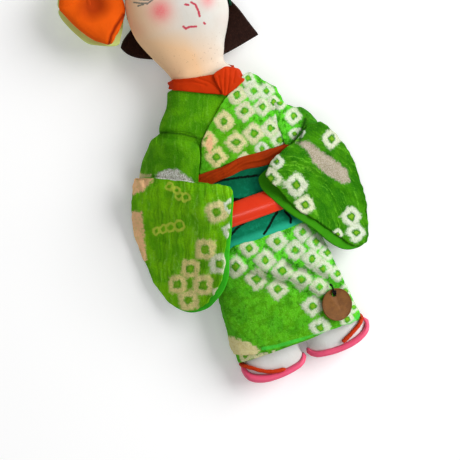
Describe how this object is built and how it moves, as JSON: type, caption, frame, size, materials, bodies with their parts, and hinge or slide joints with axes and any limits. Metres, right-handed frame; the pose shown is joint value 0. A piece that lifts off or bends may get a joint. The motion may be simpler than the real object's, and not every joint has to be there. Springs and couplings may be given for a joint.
{
  "type": "cloth kimono doll",
  "caption": "Stuffed cloth doll in a wrapped kimono with a tied obi, wide sleeves crossed over the belly, zori sandals, bobbed felt hair and a side bow.",
  "frame": {"origin": "middle of the obi knot's flat back face, which lies on the floor", "axes": "+Y from the feet to the head, +Z out of the doll's front, +X to the doll's left"},
  "size_m": [0.1183, 0.2331, 0.0418],
  "materials": {
    "stuffed_cloth": "plain undyed cotton",
    "green_crepe": "matte silk crepe",
    "dyed_crepe": "matte crepe with pale tie-dyed rings",
    "collar_crepe": "matte crepe",
    "obi_cloth": "matte woven cloth with black lines",
    "scarf_crepe": "soft crepe",
    "satin_cord": "glossy satin",
    "face_cloth": "fine matte cotton",
    "band_cloth": "matte cloth",
    "hair_felt": "dark brown felt",
    "bow_crepe": "matte crepe",
    "bow_lining": "matte crepe",
    "sleeve_lining": "matte bright cloth",
    "tabi_cloth": "white cotton",
    "sole_felt": "pink felt",
    "strap_cord": "twisted cloth cord",
    "black_thread": "cotton thread",
    "tag_metal": "aged copper, satin"
  },
  "bodies": {
    "doll_body": {"torso": "stuffed_cloth", "kimono_bodice": "green_crepe", "bodice_left_panel": "dyed_crepe", "kimono_skirt": "green_crepe", "skirt_front_panel": "dyed_crepe", "collar_right": "collar_crepe", "collar_left": "collar_crepe", "obi": "obi_cloth", "obi_knot": "obi_cloth", "obi_knot_tail": "obi_cloth", "obiage": "scarf_crepe", "obijime": "satin_cord"},
    "neck_core": {"neck": "face_cloth"},
    "head_group": {"head": "face_cloth", "headband": "band_cloth", "hair_back": "hair_felt", "hair_cap": "hair_felt", "bow_lower_loop": "bow_crepe", "bow_upper_loop": "bow_crepe", "bow_knot": "bow_crepe", "bow_lower_lining": "bow_lining", "bow_upper_lining": "bow_lining"},
    "right_upper_arm": {"right_upper_sleeve": "green_crepe"},
    "right_lower_arm": {"right_forearm": "stuffed_cloth", "right_sleeve_front": "dyed_crepe", "right_sleeve_lining": "sleeve_lining"},
    "left_upper_arm": {"left_upper_sleeve": "green_crepe"},
    "left_lower_arm": {"left_forearm": "stuffed_cloth", "left_sleeve_front": "dyed_crepe", "left_sleeve_lining": "sleeve_lining"},
    "right_leg_group": {"right_leg": "tabi_cloth", "right_sole": "sole_felt", "right_strap": "strap_cord"},
    "left_leg_group": {"left_leg": "tabi_cloth", "left_sole": "sole_felt", "left_strap": "strap_cord"},
    "thread_loop": {"tag_thread": "black_thread"},
    "tag_disc": {"tag": "tag_metal"}
  },
  "joints": [
    {"name": "head_nod", "type": "hinge", "parent": "doll_body", "child": "neck_core", "pos_m": [0, 0.0623, 0.0183], "axis": [1, 0, 0], "range_deg": [-6, 6]},
    {"name": "head_turn", "type": "hinge", "parent": "neck_core", "child": "head_group", "pos_m": [0, 0.075, 0.0183], "axis": [0, 1, 0], "range_deg": [-15, 15]},
    {"name": "right_arm_lift", "type": "hinge", "parent": "doll_body", "child": "right_upper_arm", "pos_m": [-0.0306, 0.05145, 0.0346], "axis": [-1, 0, 0], "range_deg": [0, 70]},
    {"name": "right_elbow_lift", "type": "hinge", "parent": "right_upper_arm", "child": "right_lower_arm", "pos_m": [-0.0495, 0.0332, 0.0392], "axis": [-1, 0, 0], "range_deg": [0, 60]},
    {"name": "left_arm_lift", "type": "hinge", "parent": "doll_body", "child": "left_upper_arm", "pos_m": [0.0336, 0.04415, 0.0346], "axis": [-1, 0, 0], "range_deg": [0, 70]},
    {"name": "left_elbow_lift", "type": "hinge", "parent": "left_upper_arm", "child": "left_lower_arm", "pos_m": [0.0405, 0.02882, 0.0392], "axis": [-1, 0, 0], "range_deg": [0, 60]},
    {"name": "right_leg_swing", "type": "hinge", "parent": "doll_body", "child": "right_leg_group", "pos_m": [0, -0.038, 0.0159], "axis": [-1, 0, 0], "range_deg": [0, 5]},
    {"name": "left_leg_swing", "type": "hinge", "parent": "doll_body", "child": "left_leg_group", "pos_m": [0, -0.038, 0.0159], "axis": [-1, 0, 0], "range_deg": [0, 3]},
    {"name": "tag_lift", "type": "hinge", "parent": "doll_body", "child": "thread_loop", "pos_m": [0.02465, -0.05114, 0.02588], "axis": [-0.9392, 0, 0.3433], "range_deg": [0, 100]},
    {"name": "tag_swing", "type": "hinge", "parent": "thread_loop", "child": "tag_disc", "pos_m": [0.02416, -0.05583, 0.02454], "axis": [0.3419, -0.09, 0.9354], "range_deg": [-35, 35]}
  ]
}
